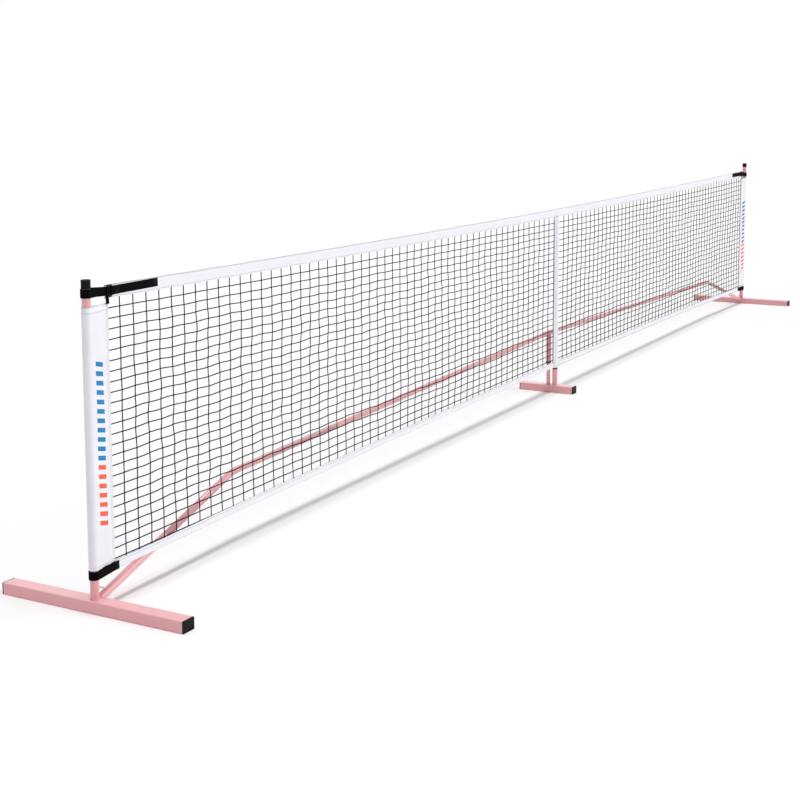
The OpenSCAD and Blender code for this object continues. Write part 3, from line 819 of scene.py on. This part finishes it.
def band(name, points, steps, bottom_z, side, replaced, sway=0.0, climb=0.0):
    """Lays webbing on edge along plan points, (towards the net, across); it climbs to the post."""
    way = -1 if side == "left" else 1
    at, total = polyline(points)

    def lay(s, v):
        towards, y = at(s)
        share = max(0.0, min(1.0, (0.085 - towards) / 0.07))
        rise = climb * share * share * (3 - 2 * share) + sway * math.sin(math.pi * s)
        return Vector((way * (net_reach - towards), y, bottom_z + v + rise))

    piece = cloth_strip(name, selvedge, steps, lay, black_webbing, replaced, (strap_w, total),
                        strap_t)
    piece.modifiers["thickness"].offset = 0
    rim = piece.modifiers.new("rim", "BEVEL")
    rim.width = 0.0004
    rim.segments = 2
    rim.limit_method = "ANGLE"
    rim.angle_limit = math.radians(50)


tape_face = tape_half + strap_t / 2 + 0.0002
strap_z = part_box("left_top_strap")[1][2] - strap_w
strap_climb = {"left": 0.004, "right": -0.008}
held_bar_x, held_bar_y, held_bar_wrap = 0.098, -0.0057, 0.00285
tail_x, tail_len, tail_slant = 3.276, 0.026, 0.52
for side in sides:
    lower_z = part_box(f"{side}_bottom_strap")[0][2]
    plan = wrap_points([Vector((0.104, -tape_face)), Vector((0.088, -tape_face))],
                       [Vector((0.088, tape_face)), Vector((0.104, tape_face))])
    band(f"{side}_lower_strap", plan, 70, lower_z, side, [f"{side}_bottom_strap"], sway=-0.0006)
    plan = wrap_points(
        [Vector((0.091, -tape_face)), Vector((0.080, -tape_face)), Vector((0.074, -0.0036))],
        [Vector((0.074, 0.0036)), Vector((0.080, tape_face)), Vector((0.117, tape_face))])
    band(f"{side}_upper_strap", plan, 70, strap_z, side, [f"{side}_top_strap"], sway=-0.0005,
         climb=strap_climb[side])

    turned = [Vector((held_bar_x - held_bar_wrap * math.sin(a),
                      held_bar_y + held_bar_wrap * math.cos(a)))
              for a in (math.pi * k / 10 for k in range(11))]
    plan = ([Vector((0.308, -tape_face)), Vector((0.104, -tape_face))] + turned
            + [Vector((0.108, -0.0071)), Vector((0.116, -0.0047)), Vector((0.134, -0.0045))])
    band(f"{side}_buckle_webbing", plan, 90, strap_z, side, [f"{side}_buckle_loop"])

    # the strap's free end hangs below the buckle, turned so that it is seen narrow
    way = -1 if side == "left" else 1
    tail_z = strap_z + 0.003

    def lay_tail(s, v):
        bow = 0.0022 * s * s
        return Vector((way * (tail_x - v * tail_slant + 0.0015 * s),
                       -0.0036 - bow - 0.02 * (v - 0.0125) * s, tail_z - tail_len * s))

    tail = cloth_strip(f"{side}_strap_tail", selvedge, 10, lay_tail, black_webbing, None,
                       (strap_w, tail_len), strap_t)
    tail.modifiers["thickness"].offset = 0


# Strap stitching: grey bonded thread, sewn as a box with a cross at each end of the webbing.
# The stitches stand a little above the webbing.
thread, tree = blank_material("grey_bonded_nylon_thread")
place = add(tree, "ShaderNodeTexCoord").outputs["Object"]
ply = add(tree, "ShaderNodeTexNoise", {"Vector": place, "Scale": 1 / 0.0006})
relief = add(tree, "ShaderNodeBump", {"Height": ply.outputs["Fac"], "Strength": 0.4,
                                      "Distance": 0.0001})
tint = add(tree, "ShaderNodeMix", {"Factor": ply.outputs["Fac"], 6: linear("#26262a"),
                                   7: linear("#55555c")}, data_type="RGBA")
nylon = add(tree, "ShaderNodeBsdfPrincipled", {"Base Color": tint.outputs[2], "Roughness": 0.5,
                                               "Normal": relief.outputs[0]})
add(tree, "ShaderNodeOutputMaterial", {"Surface": nylon.outputs[0]})


stitch_pitch, stitch_half, thread_r = 0.0031, 0.0011, 0.00035
box_tall = 0.019


def sew_box(shape, centre, width, height):
    """Adds a box of stitches with a cross in it, in the plane across Y."""
    w, h = width / 2, height / 2
    corners = [(-w, -h), (w, -h), (w, h), (-w, h)]
    lines = list(zip(corners, corners[1:] + corners[:1]))
    lines += [(corners[0], corners[2]), (corners[1], corners[3])]
    for (ax, az), (bx, bz) in lines:
        length = math.hypot(bx - ax, bz - az)
        count = max(1, round(length / stitch_pitch))
        tilt = Matrix.Rotation(-math.atan2(bz - az, bx - ax), 4, "Y")
        for k in range(count):
            share = (k + 0.5) / count
            spot = centre + Vector((ax + (bx - ax) * share, 0, az + (bz - az) * share))
            size = Matrix.Diagonal((stitch_half, thread_r, thread_r, 1))
            bmesh.ops.create_icosphere(shape, subdivisions=1, radius=1,
                                       matrix=Matrix.Translation(spot) @ tilt @ size)


for side in sides:
    way = -1 if side == "left" else 1
    lower_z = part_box(f"{side}_bottom_strap")[0][2]
    lower_mid, upper_mid = lower_z + strap_w / 2, strap_z + strap_w / 2
    sewn_y = tape_face + strap_t / 2 + 0.0001
    shape = bmesh.new()
    for reach, y, z, width in (
        (0.0965, -sewn_y, lower_mid, 0.010),
        (0.0965, sewn_y, lower_mid, 0.010),
        (0.298, -sewn_y, upper_mid, 0.014),
        (0.125, -0.0053, upper_mid, 0.014),
        (0.106, sewn_y, upper_mid, 0.016),
    ):
        sew_box(shape, Vector((way * (net_reach - reach), y, z)), width, box_tall)
    for face in shape.faces:
        face.smooth = True
    place_piece(f"{side}_strap_stitches", shape, thread, "net")


# Strap buckles: moulded black ladder buckles, two side pieces joined by three round bars.
# The inmost bar is held in the folded webbing, and the buckle swings on it.
buckle_side_t, buckle_bar_r = 0.004, 0.0019
for side in sides:
    low, high = Vector(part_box(f"{side}_buckle")[0]), Vector(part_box(f"{side}_buckle")[1])
    centre = (low + high) / 2
    size = high - low
    shape = bmesh.new()
    for z in (low.z + buckle_side_t / 2, high.z - buckle_side_t / 2):
        bar = bmesh.ops.create_cube(shape, size=1)["verts"]
        bmesh.ops.scale(shape, vec=(size.x, size.y, buckle_side_t), verts=bar)
        bmesh.ops.translate(shape, verts=bar, vec=(centre.x, centre.y, z))
    bmesh.ops.bevel(shape, geom=shape.edges[:], offset=0.0011, segments=3, profile=0.5,
                    affect="EDGES", material=-1)
    for share in (0, 0.5, 1):
        x = low.x + buckle_side_t / 2 + (size.x - buckle_side_t) * share
        bmesh.ops.create_cone(shape, cap_ends=True, segments=20, radius1=buckle_bar_r,
                              radius2=buckle_bar_r, depth=size.z - buckle_side_t,
                              matrix=Matrix.Translation((x, centre.y, centre.z)))
    bmesh.ops.recalc_face_normals(shape, faces=shape.faces)
    for face in shape.faces:
        face.smooth = True
    buckle = place_piece(f"{side}_buckle_moulding", shape, black_plastic, f"{side}_buckle")
    buckle.data.set_sharp_from_angle(angle=math.radians(40))
    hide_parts(f"{side}_buckle")
